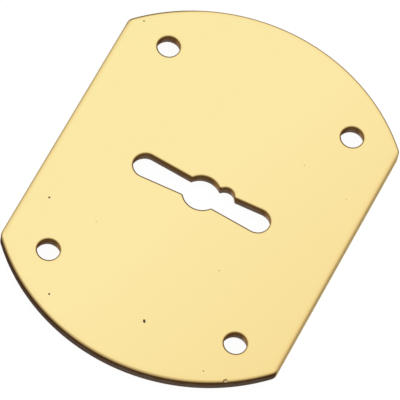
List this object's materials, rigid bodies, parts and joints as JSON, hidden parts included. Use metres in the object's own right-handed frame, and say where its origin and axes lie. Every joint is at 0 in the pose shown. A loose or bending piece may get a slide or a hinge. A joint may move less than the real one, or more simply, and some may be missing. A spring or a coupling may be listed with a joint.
{
  "type": "keyhole escutcheon",
  "caption": "Flat brass escutcheon plate: a round disc with two straight sides, four screw holes and a keyhole for a double-bitted key.",
  "frame": {"origin": "centre of the plate's flat back face, behind the middle of the keyhole's barrel hole", "axes": "+X along the keyhole, towards the side lobe; +Y along the straight sides, to the side that the lobe stands on; +Z out of the polished front face"},
  "size_m": [0.059, 0.0798, 0.0028],
  "materials": {
    "polished_brass": "polished and lacquered face, buffed edges, darker punched walls"
  },
  "bodies": {
    "root": {"escutcheon_plate": "polished_brass"}
  },
  "joints": []
}
